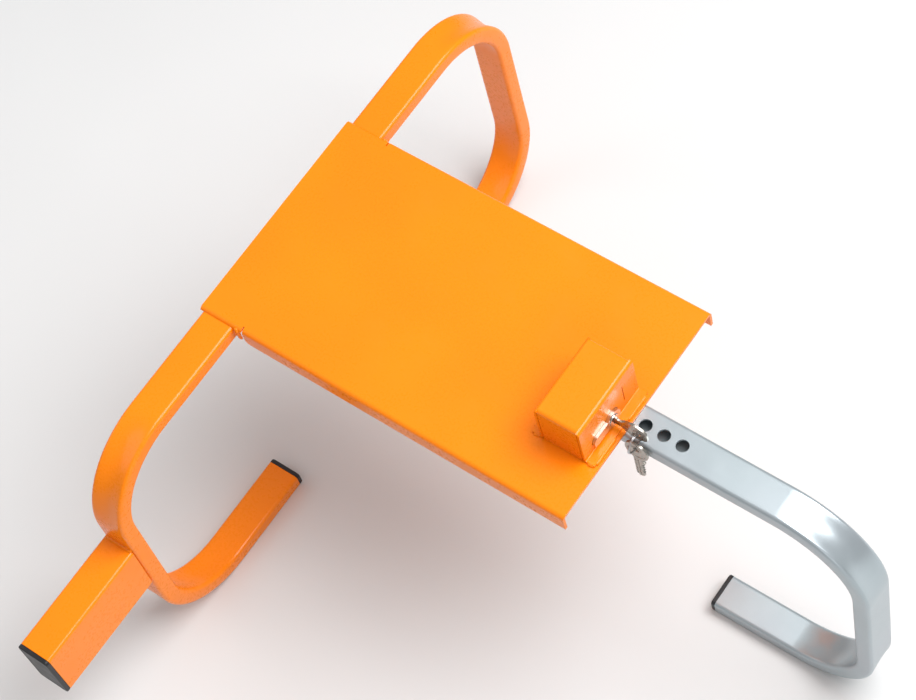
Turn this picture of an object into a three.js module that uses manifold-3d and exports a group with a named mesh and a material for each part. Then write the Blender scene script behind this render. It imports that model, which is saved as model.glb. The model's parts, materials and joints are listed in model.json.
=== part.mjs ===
// Wheel clamp with two fixed hooks, a sliding hooked arm and a key-operated locking bolt.
// Millimetres. The clamp is drawn in its own axes: the cover plate's face is z = 0, x runs from the
// claw tube to the sliding arm, y runs along the claw tube, and the hooks reach down to -z.
// The last section lifts it so that it stands on the return legs of its three hooks, with +z up.
import * as THREE from 'three';
import * as BufferGeometryUtils from 'three/addons/utils/BufferGeometryUtils.js';
import Module from 'manifold-3d';

const wasm = await Module();
wasm.setup();

// ---------- driving dimensions ----------
const GAP = 0.3;

const PLATE = { length: 340, width: 196, sheet: 2.5, flange: 18, bend: 4, flangeStart: 41 };
const TUBE = { width: 30, thickness: 15, wall: 2, corner: 3 };
const BEND_RADIUS = 70.5;
const HOOK_FLOOR = -273.8;
const CLAW = { x: 17, top: -(PLATE.sheet + GAP), lowY: -168, highY: 356, legLength: 159 };
const STUB = { height: 60, top: -103, endY: -274, clear: 0.3 };
const CAP = { thickness: 3.5, plug: 12, clear: 0.4 };

const ARM = { y: 94.5, top: -3.1, innerEnd: 190, outerX: 543.5, legEnd: 395 };
const HOLE = { diameter: 10.3, plate: 11, pitch: 16, before: 3, beyond: 5 };
const GUIDE = { start: 120, end: 330, wall: 2, clear: 0.6 };

const HOUSING = { x0: 289.5, x1: 329, y0: 46, y1: 115.5, top: 45, sheet: 2, foot: 8, bend: 3.5, corner: 0.7 };
const SLIT = { y: 99, width: 0.8, z0: 10, z1: 31 };
const AXIS = { y: 81.5, z: 11.5 };
const CYLINDER = { back: 292.6, front: 331.5, round: 8.5, bar: 5, height: 33, bore: 10.6 };
const CAM = { x0: 297.5, x1: 303.9, slot0: 295.4, slot1: 306, slotFront: 14.5, hub: 12,
  reach: 13.75, tip: 1.75, angle: 48 };
const PLUG = { diameter: 10, back: 306.3, front: 332.1, tail: 5.4, keywayWidth: 2.6, keywayHeight: 8.7 };
const BOLT = { x: 300.7, y: ARM.y, diameter: 9.4, tip: 3.6, travel: 19, front: 4.5, back: 7, head: 31 };
const NOTCH = { height: 8, depth: 7.5 };
const STUD = { diameter: 4, height: 4 };
const BOLT_GUIDE = { halfWidth: 5, front: 3, wall: 2, clear: 0.4, top: 40 };
const SPRING = { radius: 4.2, wire: 1.1, turns: 6, stepsPerTurn: 14 };
const SCREW = { y: 62, shank: 5, head: 9, headHeight: 3.5, socket: 4, roof: 1.2, top: 14, clear: 0.6 };

const KEY = { thickness: 2, bowTop: 8, bowEnd: -14.5, shoulder: -20.2, tip: -44.6, blade: 4, hole: 2.8 };
const BOW = { half: 10, flat: 4 };
const RING = { radius: 8.6, wire: 0.8, lean: THREE.MathUtils.degToRad(39.8), spareY: 76 };

// ---------- materials ----------
function paint(color, roughness, metalness) {
  return new THREE.MeshStandardMaterial({ color, roughness, metalness });
}
const ORANGE = paint(0xf79a08, 0.35, 0.1);
const ZINC = paint(0xb9c4c6, 0.35, 0.9);
const STEEL = paint(0x8f9294, 0.4, 0.9);
const NICKEL = paint(0xc4c0b6, 0.25, 1);
const BLACK = paint(0x17181a, 0.6, 0);

// ---------- solids ----------
function toManifold(geometry) {
  const bare = geometry.index ? geometry.toNonIndexed() : geometry.clone();
  bare.deleteAttribute('normal');
  bare.deleteAttribute('uv');
  const merged = BufferGeometryUtils.mergeVertices(bare, 1e-4);
  const vertProperties = new Float32Array(merged.attributes.position.array);
  const triVerts = new Uint32Array(merged.index.array);
  return new wasm.Manifold(new wasm.Mesh({ numProp: 3, vertProperties, triVerts }));
}

function toGeometry(manifold) {
  const mesh = manifold.getMesh();
  const geometry = new THREE.BufferGeometry();
  geometry.setAttribute('position', new THREE.BufferAttribute(mesh.vertProperties, 3));
  geometry.setIndex(new THREE.BufferAttribute(mesh.triVerts, 1));
  return geometry;
}

function cut(geometry, ...tools) {
  return toGeometry(tools.reduce((solid, tool) => solid.subtract(toManifold(tool)), toManifold(geometry)));
}

function join(geometry, ...others) {
  return toGeometry(others.reduce((solid, other) => solid.add(toManifold(other)), toManifold(geometry)));
}

function common(a, b) {
  return toGeometry(toManifold(a).intersect(toManifold(b)));
}

// ---------- shape helpers ----------
function block(x0, x1, y0, y1, z0, z1) {
  const box = new THREE.BoxGeometry(x1 - x0, y1 - y0, z1 - z0);
  return box.translate((x0 + x1) / 2, (y0 + y1) / 2, (z0 + z1) / 2);
}

function roundedRect(width, height, radius, Outline = THREE.Shape) {
  const w = width / 2;
  const h = height / 2;
  const outline = new Outline();
  outline.moveTo(w, -h + radius);
  outline.absarc(w - radius, h - radius, radius, 0, Math.PI / 2, false);
  outline.absarc(-w + radius, h - radius, radius, Math.PI / 2, Math.PI, false);
  outline.absarc(-w + radius, -h + radius, radius, Math.PI, Math.PI * 1.5, false);
  outline.absarc(w - radius, -h + radius, radius, Math.PI * 1.5, Math.PI * 2, false);
  return outline;
}

function tubeSection(width, height) {
  const shape = roundedRect(width, height, TUBE.corner);
  const inside = TUBE.corner - TUBE.wall + 0.2;
  shape.holes.push(roundedRect(width - 2 * TUBE.wall, height - 2 * TUBE.wall, inside, THREE.Path));
  return shape;
}

// Extrudes a shape along X from x0 to x1. The shape's x becomes -z and its y stays y.
function alongX(shape, x0, x1, curveSegments = 6) {
  const solid = new THREE.ExtrudeGeometry(shape, { depth: x1 - x0, bevelEnabled: false, curveSegments });
  return solid.rotateY(Math.PI / 2).translate(x0, 0, 0);
}

// Extrudes a shape along Y from y0 to y1. The shape's y becomes -z and its x stays x.
function alongY(shape, y0, y1, curveSegments = 6) {
  const solid = new THREE.ExtrudeGeometry(shape, { depth: y1 - y0, bevelEnabled: false, curveSegments });
  return solid.rotateX(-Math.PI / 2).translate(0, y0, 0);
}

function rodZ(x, y, z0, z1, diameter, sides = 24) {
  const rod = new THREE.CylinderGeometry(diameter / 2, diameter / 2, z1 - z0, sides);
  return rod.rotateX(Math.PI / 2).translate(x, y, (z0 + z1) / 2);
}

function rodX(x0, x1, y, z, diameter, sides = 24) {
  const rod = new THREE.CylinderGeometry(diameter / 2, diameter / 2, x1 - x0, sides);
  return rod.rotateZ(Math.PI / 2).translate((x0 + x1) / 2, y, z);
}

// A path with a station at each end of each straight run and several round each bend.
class StationCurve extends THREE.Curve {
  constructor(points, tangents) {
    super();
    this.points = points;
    this.tangents = tangents;
    this.last = points.length - 1;
  }
  getPointAt(u) {
    return this.points[Math.round(u * this.last)].clone();
  }
  getTangentAt(u) {
    return this.tangents[Math.round(u * this.last)].clone();
  }
}

function bentPath(corners, radius, bendSteps = 8) {
  const points = [corners[0]];
  const tangents = [corners[1].clone().sub(corners[0]).normalize()];
  for (let i = 1; i < corners.length - 1; i++) {
    const before = corners[i].clone().sub(corners[i - 1]).normalize();
    const after = corners[i + 1].clone().sub(corners[i]).normalize();
    const centre = corners[i].clone().addScaledVector(before, -radius).addScaledVector(after, radius);
    for (let step = 0; step <= bendSteps; step++) {
      const angle = (step / bendSteps) * (Math.PI / 2);
      const point = centre.clone();
      point.addScaledVector(after, -radius * Math.cos(angle));
      point.addScaledVector(before, radius * Math.sin(angle));
      points.push(point);
      const tangent = before.clone().multiplyScalar(Math.cos(angle));
      tangents.push(tangent.addScaledVector(after, Math.sin(angle)).normalize());
    }
  }
  const end = corners[corners.length - 1];
  points.push(end);
  tangents.push(end.clone().sub(corners[corners.length - 2]).normalize());
  return new StationCurve(points, tangents);
}

function sweptTube(corners) {
  const path = bentPath(corners, BEND_RADIUS);
  const section = tubeSection(TUBE.thickness, TUBE.width);
  return new THREE.ExtrudeGeometry(section, { steps: path.last, extrudePath: path, curveSegments: 3 });
}

// ---------- fixed parts ----------
// The cover plate is one sheet with a flange folded down along each long edge.
function coverPlate() {
  const { length, width, sheet, flange, bend, flangeStart } = PLATE;
  const channel = new THREE.Shape();
  channel.moveTo(flange, 0);
  channel.lineTo(bend, 0);
  channel.absarc(bend, bend, bend, -Math.PI / 2, -Math.PI, true);
  channel.lineTo(0, width - bend);
  channel.absarc(bend, width - bend, bend, Math.PI, Math.PI / 2, true);
  channel.lineTo(flange, width);
  channel.lineTo(flange, width - sheet);
  channel.lineTo(bend, width - sheet);
  channel.absarc(bend, width - bend, bend - sheet, Math.PI / 2, Math.PI, false);
  channel.lineTo(sheet, bend);
  channel.absarc(bend, bend, bend - sheet, Math.PI, Math.PI * 1.5, false);
  channel.lineTo(flange, sheet);
  channel.closePath();

  const cornerRadius = 8;
  const side = new THREE.Shape();
  side.moveTo(0, -1);
  side.lineTo(length, -1);
  side.lineTo(length, flange + 1);
  side.lineTo(flangeStart + cornerRadius, flange + 1);
  side.lineTo(flangeStart + cornerRadius, flange);
  side.absarc(flangeStart + cornerRadius, flange - cornerRadius, cornerRadius, Math.PI / 2, Math.PI, false);
  side.lineTo(flangeStart, sheet);
  side.lineTo(0, sheet);
  side.closePath();

  const sheetMetal = common(alongX(channel, 0, length), alongY(side, -1, width + 1));
  const boltHole = rodZ(BOLT.x, BOLT.y, -10, 10, HOLE.plate);
  const screwHole = rodZ(BOLT.x, SCREW.y, -10, 10, SCREW.shank + 1);
  return cut(sheetMetal, boltHole, screwHole);
}

// One rectangular tube, bent four times, makes both fixed hooks and the bar under the plate.
function clawTube() {
  const half = TUBE.thickness / 2;
  const top = CLAW.top - half;
  const floor = HOOK_FLOOR + half;
  const low = CLAW.lowY + half;
  const high = CLAW.highY - half;
  const yz = (y, z) => new THREE.Vector3(CLAW.x, y, z);
  const lowEnd = yz(CLAW.lowY + CLAW.legLength, floor);
  const highEnd = yz(CLAW.highY - CLAW.legLength, floor);
  return sweptTube([lowEnd, yz(low, floor), yz(low, top), yz(high, top), yz(high, floor), highEnd]);
}

function stubTube() {
  const section = tubeSection(STUB.height, TUBE.width);
  const start = CLAW.lowY - STUB.clear;
  const tube = new THREE.ExtrudeGeometry(section, {
    depth: start - STUB.endY,
    bevelEnabled: false,
    curveSegments: 3,
  });
  tube.rotateZ(Math.PI / 2).rotateX(-Math.PI / 2);
  return tube.translate(CLAW.x, STUB.endY, STUB.top - STUB.height / 2);
}

// A push-in plastic cap, drawn with its outer face on z = 0 and its plug towards +z.
function endCap(width, height) {
  const inset = 2 * (TUBE.wall + CAP.clear);
  const settings = { bevelEnabled: false, curveSegments: 3 };
  const face = new THREE.ExtrudeGeometry(roundedRect(width, height, TUBE.corner), {
    ...settings,
    depth: CAP.thickness,
  });
  const plug = new THREE.ExtrudeGeometry(roundedRect(width - inset, height - inset, 1), {
    ...settings,
    depth: CAP.thickness + CAP.plug,
  });
  return join(face, plug);
}

// A channel under the plate that the arm slides in.
function armGuide() {
  const halfWidth = TUBE.width / 2 + GUIDE.clear;
  const top = CLAW.top;
  const floor = ARM.top - TUBE.thickness - GUIDE.clear;
  const { y } = ARM;
  const outer = block(GUIDE.start, GUIDE.end, y - halfWidth - GUIDE.wall, y + halfWidth + GUIDE.wall,
    floor - GUIDE.wall, top);
  const inner = block(GUIDE.start - 1, GUIDE.end + 1, y - halfWidth, y + halfWidth, floor, top + 1);
  return cut(outer, inner);
}

// A sheet bent down at both ends, drawn as a profile whose x becomes -z when it is extruded.
// Feet turn outwards at its lower edges when foot is over zero.
function foldedSheet(low, high, foot) {
  const { top, sheet, bend } = HOUSING;
  const profile = new THREE.Shape();
  if (foot > 0) {
    profile.moveTo(-GAP, low - foot);
    profile.lineTo(-GAP - sheet, low - foot);
    profile.lineTo(-GAP - sheet, low);
  } else {
    profile.moveTo(-GAP, low);
  }
  profile.lineTo(-top + bend, low);
  profile.absarc(-top + bend, low + bend, bend, -Math.PI / 2, -Math.PI, true);
  profile.lineTo(-top, high - bend);
  profile.absarc(-top + bend, high - bend, bend, Math.PI, Math.PI / 2, true);
  if (foot > 0) {
    profile.lineTo(-GAP - sheet, high);
    profile.lineTo(-GAP - sheet, high + foot);
    profile.lineTo(-GAP, high + foot);
  } else {
    profile.lineTo(-GAP, high);
  }
  profile.lineTo(-GAP, high - sheet);
  profile.lineTo(-top + bend, high - sheet);
  profile.absarc(-top + bend, high - bend, bend - sheet, Math.PI / 2, Math.PI, false);
  profile.lineTo(-top + sheet, low + bend);
  profile.absarc(-top + bend, low + bend, bend - sheet, -Math.PI, -Math.PI / 2, false);
  profile.lineTo(-GAP, low + sheet);
  profile.closePath();
  return profile;
}

// The lock housing is one sheet folded into a box, open at its upright corners. Two of its walls
// have a foot along the lower edge.
function lockHousing() {
  const { x0, x1, y0, y1, top, sheet, foot, bend, corner } = HOUSING;
  const inset = sheet + corner;
  const withFeet = alongX(foldedSheet(-x1, -x0, foot), y0, y1).rotateZ(Math.PI / 2);
  const ends = [y0, y1].map((y) => block(x0 + inset, x1 - inset, y - bend, y + bend, top - bend, top + 1));
  const plainWalls = alongX(foldedSheet(y0, y1, 0), x0 + inset, x1 - inset);
  const shell = join(cut(withFeet, ...ends), plainWalls);
  const window = alongX(cylinderProfile(0.4), x1 - 5, x1 + 5, 10).translate(0, AXIS.y, AXIS.z);
  const slit = block(x1 - 5, x1 + 5, SLIT.y - SLIT.width / 2, SLIT.y + SLIT.width / 2, SLIT.z0, SLIT.z1);
  return cut(shell, window, slit);
}

// ---------- the lock ----------
// The section of a profile half cylinder: a round part, with a bar towards -y.
function cylinderProfile(grow = 0) {
  const round = CYLINDER.round + grow;
  const bar = CYLINDER.bar + grow;
  const end = CYLINDER.round + CYLINDER.bar - CYLINDER.height;
  const angle = Math.asin(bar / round);
  const shape = new THREE.Shape();
  shape.moveTo(bar, end);
  shape.lineTo(bar, -round * Math.cos(angle));
  shape.absarc(0, 0, round, -Math.PI / 2 + angle, Math.PI * 1.5 - angle, false);
  shape.lineTo(-bar, end);
  shape.absarc(0, end, bar, Math.PI, Math.PI * 2, false);
  return shape;
}

function lockCylinder() {
  const { y, z } = AXIS;
  const body = alongX(cylinderProfile(), CYLINDER.back, CYLINDER.front, 10).translate(0, y, z);
  const bore = rodX(PLUG.back - 5, CYLINDER.front + 1, y, z, CYLINDER.bore);
  const tailBore = rodX(CYLINDER.back - 1, CAM.slot1, y, z, PLUG.tail + 0.6);
  const camSlot = block(CAM.slot0, CAM.slot1, y - CAM.slotFront, y + 20, z - 20, z + 20);
  const thread = rodZ(BOLT.x, SCREW.y, 0, SCREW.top + 1, SCREW.shank + SCREW.clear);
  return cut(body, bore, tailBore, camSlot, thread);
}

function lockPlug() {
  const { y, z } = AXIS;
  const barrel = rodX(PLUG.back, PLUG.front, y, z, PLUG.diameter);
  const tail = rodX(CYLINDER.back + GAP, PLUG.back + 1, y, z, PLUG.tail, 16);
  const across = PLUG.keywayWidth / 2;
  const up = PLUG.keywayHeight / 2;
  const keyway = block(PLUG.back + 1.2, PLUG.front + 1, y - across, y + across, z - up, z + up);
  return cut(join(barrel, tail), keyway);
}

// The cam's finger sits in the bolt's notch, and moves the bolt as the plug turns.
function lockCam() {
  const { x0, x1, reach, tip } = CAM;
  const hub = rodX(x0, x1, 0, 0, CAM.hub);
  const finger = block(x0, x1, 0, reach, -tip, tip);
  const end = rodX(x0, x1, reach, 0, 2 * tip, 16);
  const bore = rodX(x0 - 1, x1 + 1, 0, 0, PLUG.tail + 0.6, 16);
  const cam = cut(join(hub, finger, end), bore);
  return cam.rotateX(THREE.MathUtils.degToRad(CAM.angle)).translate(0, AXIS.y, AXIS.z);
}

function lockBolt() {
  const { x, y, diameter, tip, travel, front, back, head } = BOLT;
  const half = diameter / 2;
  const pin = rodZ(x, y, tip, travel + 1, diameter, 32);
  const body = block(x - half, x + half, y - front, y + back, travel + GAP, head);
  const stud = rodZ(x, y, head - 1, head + STUD.height, STUD.diameter, 16);
  const middle = AXIS.z + CAM.reach * Math.sin(THREE.MathUtils.degToRad(CAM.angle));
  const low = middle - NOTCH.height / 2;
  const notchBack = y - front + NOTCH.depth;
  const notch = block(x - diameter, x + diameter, y - 2 * front, notchBack, low, low + NOTCH.height);
  return cut(join(pin, body, stud), notch);
}

// A channel welded to the plate that keeps the bolt upright.
function boltGuide() {
  const { x, y } = BOLT;
  const { halfWidth, front, wall, clear, top } = BOLT_GUIDE;
  const back = y + BOLT.back + clear;
  const outer = block(x - halfWidth - wall, x + halfWidth + wall, y - front, back + wall, GAP, top);
  const inner = block(x - halfWidth, x + halfWidth, y - front - 1, back, GAP - 1, top + 1);
  return cut(outer, inner);
}

function boltSpring() {
  const bottom = BOLT.head + GAP + SPRING.wire / 2;
  const top = HOUSING.top - HOUSING.sheet - GAP - SPRING.wire / 2;
  class Helix extends THREE.Curve {
    getPoint(t) {
      const angle = t * SPRING.turns * Math.PI * 2;
      const z = THREE.MathUtils.lerp(bottom, top, t);
      return new THREE.Vector3(SPRING.radius * Math.cos(angle), SPRING.radius * Math.sin(angle), z);
    }
  }
  const wire = new THREE.Shape().absarc(0, 0, SPRING.wire / 2, 0, Math.PI * 2, false);
  const coil = new THREE.ExtrudeGeometry(wire, {
    steps: SPRING.turns * SPRING.stepsPerTurn,
    extrudePath: new Helix(),
    curveSegments: 3,
  });
  return coil.translate(BOLT.x, BOLT.y, 0);
}

function cylinderScrew() {
  const underPlate = -(PLATE.sheet + GAP);
  const shank = rodZ(BOLT.x, SCREW.y, underPlate - 1, SCREW.top, SCREW.shank);
  const head = rodZ(BOLT.x, SCREW.y, underPlate - SCREW.headHeight, underPlate, SCREW.head);
  const socket = rodZ(BOLT.x, SCREW.y, underPlate - 10, underPlate - SCREW.roof, SCREW.socket, 6);
  return cut(join(shank, head), socket);
}

// ---------- the sliding arm ----------
// The locking holes go through the upper wall only, and the bolt drops into the tube.
function slidingArm() {
  const half = TUBE.thickness / 2;
  const top = ARM.top - half;
  const floor = HOOK_FLOOR + half;
  const outer = ARM.outerX - half;
  const xz = (x, z) => new THREE.Vector3(x, ARM.y, z);
  const tube = sweptTube([xz(ARM.innerEnd, top), xz(outer, top), xz(outer, floor), xz(ARM.legEnd, floor)]);
  const holes = [];
  for (let i = -HOLE.before; i <= HOLE.beyond; i++) {
    const x = BOLT.x + i * HOLE.pitch;
    holes.push(rodZ(x, ARM.y, top, ARM.top + 2, HOLE.diameter, 20));
  }
  return cut(tube, ...holes);
}

// ---------- keys ----------
// A key lies in its own x-y plane: x runs from the tip to the bow, with the ring hole at 0, 0.
function keyGeometry() {
  const { thickness, bowTop, bowEnd, shoulder, tip, blade, hole } = KEY;
  const { half, flat } = BOW;
  const middle = (bowTop + bowEnd) / 2;
  const outline = new THREE.Shape();
  outline.moveTo(tip, 0);
  outline.lineTo(tip + 3, -blade);
  outline.lineTo(bowEnd - 0.5, -blade);
  outline.bezierCurveTo(bowEnd + 1, -blade - 0.4, middle - 8, -half, middle, -half);
  outline.bezierCurveTo(middle + 6, -half, bowTop - 1, -flat - 3.5, bowTop, -flat);
  outline.lineTo(bowTop, flat);
  outline.bezierCurveTo(bowTop - 1, flat + 3.5, middle + 6, half, middle, half);
  outline.bezierCurveTo(middle - 8, half, bowEnd + 1, blade + 0.4, bowEnd - 0.5, blade);
  outline.lineTo(shoulder + 2.6, blade + 2);
  outline.lineTo(shoulder, blade + 2);
  outline.lineTo(shoulder, blade);
  const cuts = [1.4, 2.2, 1.1, 1.9, 1.5];
  const spacing = (shoulder - tip - 5.5) / cuts.length;
  cuts.forEach((depth, i) => {
    const start = shoulder - 1.5 - i * spacing;
    outline.lineTo(start, blade);
    outline.lineTo(start - spacing / 2, blade - depth);
  });
  outline.lineTo(tip + 3, blade - 0.6);
  outline.closePath();
  outline.holes.push(new THREE.Path().absarc(0, 0, hole, 0, Math.PI * 2, true));
  const key = new THREE.ExtrudeGeometry(outline, { depth: thickness, bevelEnabled: false, curveSegments: 8 });
  return key.translate(0, 0, -thickness / 2);
}

// ---------- assembly ----------
const clamp = new THREE.Group();

function add(name, geometry, material, parent = clamp) {
  const mesh = new THREE.Mesh(geometry, material);
  mesh.name = name;
  parent.add(mesh);
  return mesh;
}

add('cover_plate', coverPlate(), ORANGE);
add('claw_tube', clawTube(), ORANGE);
add('stub_tube', stubTube(), ORANGE);
add('arm_guide', armGuide(), ORANGE);
add('lock_housing', lockHousing(), ORANGE);
add('lock_cylinder', lockCylinder(), NICKEL);
add('lock_plug', lockPlug(), NICKEL);
add('lock_cam', lockCam(), STEEL);
add('lock_bolt', lockBolt(), STEEL);
add('bolt_guide', boltGuide(), STEEL);
add('bolt_spring', boltSpring(), STEEL);
add('cylinder_screw', cylinderScrew(), STEEL);
add('sliding_arm', slidingArm(), ZINC);

const legZ = HOOK_FLOOR + TUBE.thickness / 2;
const armZ = ARM.top - TUBE.thickness / 2;

const lowCap = add('claw_cap_lower', endCap(TUBE.width, TUBE.thickness), BLACK);
lowCap.rotation.x = Math.PI / 2;
lowCap.position.set(CLAW.x, CLAW.lowY + CLAW.legLength + GAP + CAP.thickness, legZ);

const highCap = add('claw_cap_upper', endCap(TUBE.width, TUBE.thickness), BLACK);
highCap.rotation.x = -Math.PI / 2;
highCap.position.set(CLAW.x, CLAW.highY - CLAW.legLength - GAP - CAP.thickness, legZ);

const stubCap = add('stub_cap', endCap(TUBE.width, STUB.height), BLACK);
stubCap.rotation.x = -Math.PI / 2;
stubCap.position.set(CLAW.x, STUB.endY - GAP - CAP.thickness, STUB.top - STUB.height / 2);

const armCap = add('arm_cap', endCap(TUBE.thickness, TUBE.width), BLACK);
armCap.rotation.y = Math.PI / 2;
armCap.position.set(ARM.legEnd - GAP - CAP.thickness, ARM.y, legZ);

const innerCap = add('arm_inner_cap', endCap(TUBE.thickness, TUBE.width), BLACK);
innerCap.rotation.y = Math.PI / 2;
innerCap.position.set(ARM.innerEnd - GAP - CAP.thickness, ARM.y, armZ);

// The key stands in the lock, its bow square to the plate.
const keyHole = new THREE.Vector3(PLUG.front + GAP - KEY.shoulder, AXIS.y, AXIS.z);
const key = add('lock_key', keyGeometry(), NICKEL);
key.rotation.x = Math.PI / 2;
key.position.copy(keyHole);

// The ring hangs from the key's bow, leaning clear of the arm, and the spare key hangs from the ring.
const ring = add('split_ring', new THREE.TorusGeometry(RING.radius, RING.wire, 8, 32), STEEL);
ring.rotation.y = Math.PI / 2;
ring.position.copy(keyHole);
ring.position.y -= RING.radius * Math.sin(RING.lean);
ring.position.z -= RING.radius * Math.cos(RING.lean);

const offset = ring.position.y - RING.spareY;
const wireZ = ring.position.z - Math.sqrt(RING.radius ** 2 - offset ** 2);
const spare = add('spare_key', keyGeometry(), NICKEL);
const hanging = new THREE.Matrix4();
hanging.makeBasis(new THREE.Vector3(0, 0, 1), new THREE.Vector3(1, 0, 0), new THREE.Vector3(0, 1, 0));
spare.quaternion.setFromRotationMatrix(hanging);
spare.position.set(keyHole.x, RING.spareY, wireZ + RING.wire + GAP - KEY.hole);

// ---------- stance ----------
const stance = new THREE.Group();
stance.add(clamp);
stance.updateMatrixWorld(true);
const box = new THREE.Box3().setFromObject(stance, true);
clamp.position.set(-(box.min.x + box.max.x) / 2, -(box.min.y + box.max.y) / 2, -box.min.z);

export default stance;
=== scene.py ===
"""Wheel clamp: detailed pieces, materials, light and camera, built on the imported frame."""
import json
import math

import bmesh
import bpy
from mathutils import Matrix, Vector


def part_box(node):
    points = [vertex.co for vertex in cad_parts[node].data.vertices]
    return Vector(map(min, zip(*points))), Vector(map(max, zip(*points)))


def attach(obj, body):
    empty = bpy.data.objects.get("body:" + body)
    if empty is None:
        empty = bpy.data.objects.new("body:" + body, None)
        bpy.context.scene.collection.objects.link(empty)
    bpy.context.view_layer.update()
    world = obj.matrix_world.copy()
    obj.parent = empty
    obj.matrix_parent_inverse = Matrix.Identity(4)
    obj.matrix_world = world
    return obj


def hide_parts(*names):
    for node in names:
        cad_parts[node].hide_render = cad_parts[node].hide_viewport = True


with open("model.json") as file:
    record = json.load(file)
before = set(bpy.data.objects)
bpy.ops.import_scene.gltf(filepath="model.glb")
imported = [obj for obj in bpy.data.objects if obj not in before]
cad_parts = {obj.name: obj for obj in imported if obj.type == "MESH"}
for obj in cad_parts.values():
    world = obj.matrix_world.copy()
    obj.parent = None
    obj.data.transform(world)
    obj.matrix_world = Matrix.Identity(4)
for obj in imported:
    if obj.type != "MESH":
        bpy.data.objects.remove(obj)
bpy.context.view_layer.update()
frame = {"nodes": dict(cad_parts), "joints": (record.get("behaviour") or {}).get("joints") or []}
NODES = frame["nodes"]
JOINTS = {joint["name"]: joint for joint in frame["joints"]}

# The script works in millimetres in the clamp's own axes: the plate's face is z = 0, and the plate's
# corner by the stub is x = y = 0.
_low, _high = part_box("cover_plate")
ORIGIN = Vector((_low[0], _low[1], _high[2]))
TO_WORLD = Matrix.Translation(ORIGIN) @ Matrix.Scale(0.001, 4)


def to_clamp(point):
    """A point of the frame in the clamp's own axes, to a tenth of a millimetre."""
    return tuple(round(1000 * (p - o), 1) for p, o in zip(point, ORIGIN))


def box_mm(node):
    """A CAD node's lowest and highest corners in the clamp's own axes."""
    low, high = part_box(node)
    return to_clamp(low), to_clamp(high)


# ---------- sizes ----------
GAP = 0.3

# The plate is one sheet. Its flanges start past the claw tube.
(_, _, _plate_bottom), (LENGTH, SPAN, _) = box_mm("cover_plate")
FLANGE = -_plate_bottom
SHEET, PLATE_BEND, FLANGE_START, FLANGE_CORNER = 2.5, 4, 41, 5

# The claw tube and the arm are the same rectangular tube with the same bends.
WIDTH, THICK, WALL, CORNER, BEND = 30, 15, 2, 3, 70.5
INSIDE_CORNER = 1.2
(_x0, CLAW_Y0, HOOK_FLOOR), (_x1, CLAW_Y1, CLAW_TOP) = box_mm("claw_tube")
CLAW_X = (_x0 + _x1) / 2
CLAW_LEG = 159
(ARM_END, _y0, _), (ARM_OUTER, _y1, ARM_TOP) = box_mm("sliding_arm")
ARM_Y = (_y0 + _y1) / 2
ARM_LEG_END = 395
LEG_Z = HOOK_FLOOR + THICK / 2

(STUB_X0, STUB_END, STUB_BOTTOM), (STUB_X1, STUB_FOOT, STUB_TOP) = box_mm("stub_tube")
CAP_FACE = 3.5

(GUIDE_START, GUIDE_Y0, GUIDE_BOTTOM), (GUIDE_END, GUIDE_Y1, GUIDE_TOP) = box_mm("arm_guide")
GUIDE_WALL, GUIDE_BEND = 2, 3

# The bolt drops through the plate into a row of holes in the arm's upper wall. Round sizes are radii.
BOLT_X, BOLT_HOLE = 300.7, 5.5
ARM_HOLE, HOLE_PITCH, HOLES_INWARD, HOLES_OUTWARD = 5.15, 16, 3, 5

# The housing's box reaches to the tips of its turned-out feet.
(FOOT_BACK, HOUSING_Y0, FOOT_Z), (FOOT_FRONT, HOUSING_Y1, HOUSING_TOP) = box_mm("lock_housing")
FOOT, HOUSING_SHEET, HOUSING_BEND, CORNER_SLIT = 8, 2, 3.5, 0.7
FOOT_BEND_OUTSIDE, FOOT_BEND_INSIDE = 1.0, 2.4
HOUSING_X0 = FOOT_BACK + FOOT
HOUSING_X1 = FOOT_FRONT - FOOT
SLIT_Y, SLIT_WIDTH, SLIT_Z0, SLIT_Z1 = 99, 0.8, 10, 31

# The lock turns about an axis along x. Its round sizes and the screw's are radii.
_, AXIS_Y, AXIS_Z = to_clamp(JOINTS["plug_turn"]["pos_m"])
(CYLINDER_BACK, _, _), (CYLINDER_FRONT, _, _) = box_mm("lock_cylinder")
CYLINDER_ROUND, CYLINDER_BAR, CYLINDER_HEIGHT = 8.5, 5, 33
BORE, BORE_BACK, TAIL_BORE = 5.3, 304, 3.0
CAM_SLOT_BACK, CAM_SLOT_FRONT, CAM_SLOT_Y0, CAM_SLOT_Y1 = 295.4, 306, 67, 102
(PLUG_TAIL_BACK, _, _), (PLUG_FRONT, _, _) = box_mm("lock_plug")
PLUG, PLUG_BACK, PLUG_TAIL, KEYWAY_BACK = 5.0, 306.3, 2.7, 307.5
KEYWAY_HALF_WIDTH, KEYWAY_HALF_HEIGHT = 1.3, 4.35
SCREW_Y, SCREW_HEAD, SCREW_SHANK, SCREW_SOCKET = 62, 4.5, 2.5, 2.3

# A flat key, drawn with the middle of its ring hole at 0 and its blade towards -x.
KEY_TOP, BOW_END, SHOULDER, TIP = 8, -14.5, -20.2, -44.6
BLADE, BOW_HALF, BOW_FLAT, KEY_HALF_THICK, KEY_HOLE = 4, 10, 4, 1, 2.8
TOOTH_DEPTHS = (1.4, 2.2, 1.1, 1.9, 1.5)
# Lengthwise grooves in the blade: (across, width, from z, to z), two in each face.
GROOVES = ((-1.1, 1.3, 0.45, 3), (1.4, 0.55, 0.6, 3), (0.2, 0.8, -3, -0.45), (-2.4, 0.5, -3, -0.65))

RING_HOLE = Vector(to_clamp(JOINTS["ring_swing"]["pos_m"]))
RING_RADIUS, RING_WIRE, RING_LEAN = 8.6, 0.8, math.radians(39.8)
SPARE_Y = 76


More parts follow.
